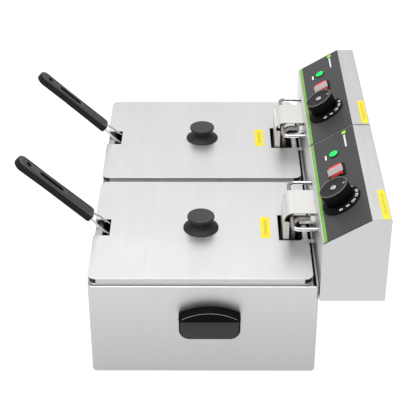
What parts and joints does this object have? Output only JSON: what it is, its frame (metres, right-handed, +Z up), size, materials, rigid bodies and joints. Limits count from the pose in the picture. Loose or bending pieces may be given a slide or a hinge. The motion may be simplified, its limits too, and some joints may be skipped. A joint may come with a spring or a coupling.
{
  "type": "deep fryer",
  "caption": "Countertop electric deep fryer with side-by-side oil tanks, lift-off lids, wire baskets with angled handles, and sloping control heads behind.",
  "frame": {"origin": "on the floor under the middle of the overall box", "axes": "+X to the user's right along the casing's long side, +Y towards the control heads at the back, +Z up"},
  "size_m": [0.5926, 0.5557, 0.305],
  "materials": {
    "casing_steel": "brushed satin stainless steel",
    "tank_steel": "smooth drawn stainless steel",
    "chrome_wire": "bright plated wire",
    "black_plastic": "fine moulded satin",
    "faceplate_grey": "printed satin overlay",
    "rubber": "matte",
    "red_plastic": "translucent gloss",
    "green_lens": "translucent gloss",
    "ceramic": "unglazed",
    "element_steel": "heat-dulled steel"
  },
  "bodies": {
    "root": {"outer_casing": "casing_steel", "base_plate": "tank_steel", "foot_front_left": "rubber", "foot_rear_left": "rubber", "carry_handle_left": "black_plastic", "oil_tank_left": "tank_steel", "foot_front_right": "rubber", "foot_rear_right": "rubber", "carry_handle_right": "black_plastic", "oil_tank_right": "tank_steel"},
    "head_left": {"head_shell_left": "casing_steel", "head_back_left": "casing_steel", "faceplate_left": "faceplate_grey", "thermostat_left": "ceramic", "pilot_lamp_left": "green_lens", "switch_housing_left": "black_plastic", "reset_guard_left": "black_plastic", "cable_gland_left": "black_plastic", "terminal_block_left": "ceramic", "heating_element_left": "element_steel", "thermostat_bulb_left": "element_steel", "riser_cover_left": "casing_steel", "drain_hook_left": "chrome_wire", "hanger_bracket_left": "tank_steel"},
    "basket_left": {"basket_mesh_left": "chrome_wire", "basket_rim_left": "chrome_wire"},
    "basket_handle_left": {"handle_wires_left": "chrome_wire", "basket_grip_left": "black_plastic"},
    "lid_left": {"lid_left": "casing_steel", "lid_knob_left": "black_plastic"},
    "dial_left": {"dial_left": "black_plastic"},
    "rocker_left": {"rocker_left": "red_plastic"},
    "reset_left": {"reset_button_left": "red_plastic"},
    "head_right": {"head_shell_right": "casing_steel", "head_back_right": "casing_steel", "faceplate_right": "faceplate_grey", "thermostat_right": "ceramic", "pilot_lamp_right": "green_lens", "switch_housing_right": "black_plastic", "reset_guard_right": "black_plastic", "cable_gland_right": "black_plastic", "terminal_block_right": "ceramic", "heating_element_right": "element_steel", "thermostat_bulb_right": "element_steel", "riser_cover_right": "casing_steel", "drain_hook_right": "chrome_wire", "hanger_bracket_right": "tank_steel"},
    "basket_right": {"basket_mesh_right": "chrome_wire", "basket_rim_right": "chrome_wire"},
    "basket_handle_right": {"handle_wires_right": "chrome_wire", "basket_grip_right": "black_plastic"},
    "lid_right": {"lid_right": "casing_steel", "lid_knob_right": "black_plastic"},
    "dial_right": {"dial_right": "black_plastic"},
    "rocker_right": {"rocker_right": "red_plastic"},
    "reset_right": {"reset_button_right": "red_plastic"}
  },
  "joints": [
    {"name": "head_left_lift", "type": "slide", "parent": "root", "child": "head_left", "axis": [0, 0, 1], "range_m": [0, 0.16]},
    {"name": "basket_left_lift", "type": "slide", "parent": "head_left", "child": "basket_left", "axis": [0, 0, 1], "range_m": [0, 0.035]},
    {"name": "handle_left_pull", "type": "slide", "parent": "basket_left", "child": "basket_handle_left", "axis": [0, -0.7308, 0.6826], "range_m": [0, 0.06]},
    {"name": "lid_left_lift", "type": "slide", "parent": "basket_left", "child": "lid_left", "axis": [0, -0.6361, 0.7716], "range_m": [0, 0.12]},
    {"name": "dial_left_turn", "type": "hinge", "parent": "head_left", "child": "dial_left", "pos_m": [-0.0825, 0.20261, 0.26421], "axis": [0, 0.518, -0.8554], "range_deg": [0, 270]},
    {"name": "rocker_left_press", "type": "hinge", "parent": "head_left", "child": "rocker_left", "pos_m": [-0.164, 0.20469, 0.26079], "axis": [0, -0.8554, -0.518], "range_deg": [0, 16]},
    {"name": "reset_left_press", "type": "slide", "parent": "head_left", "child": "reset_left", "axis": [0, -1, 0], "range_m": [0, 0.002], "stiffness_N_per_m": 400, "springref_m": -0.002},
    {"name": "head_right_lift", "type": "slide", "parent": "root", "child": "head_right", "axis": [0, 0, 1], "range_m": [0, 0.16]},
    {"name": "basket_right_lift", "type": "slide", "parent": "head_right", "child": "basket_right", "axis": [0, 0, 1], "range_m": [0, 0.035]},
    {"name": "handle_right_pull", "type": "slide", "parent": "basket_right", "child": "basket_handle_right", "axis": [0, -0.7308, 0.6826], "range_m": [0, 0.06]},
    {"name": "lid_right_lift", "type": "slide", "parent": "basket_right", "child": "lid_right", "axis": [0, -0.6361, 0.7716], "range_m": [0, 0.12]},
    {"name": "dial_right_turn", "type": "hinge", "parent": "head_right", "child": "dial_right", "pos_m": [0.1965, 0.20261, 0.26421], "axis": [0, 0.518, -0.8554], "range_deg": [0, 270]},
    {"name": "rocker_right_press", "type": "hinge", "parent": "head_right", "child": "rocker_right", "pos_m": [0.115, 0.20469, 0.26079], "axis": [0, -0.8554, -0.518], "range_deg": [0, 16]},
    {"name": "reset_right_press", "type": "slide", "parent": "head_right", "child": "reset_right", "axis": [0, -1, 0], "range_m": [0, 0.002], "stiffness_N_per_m": 400, "springref_m": -0.002}
  ]
}
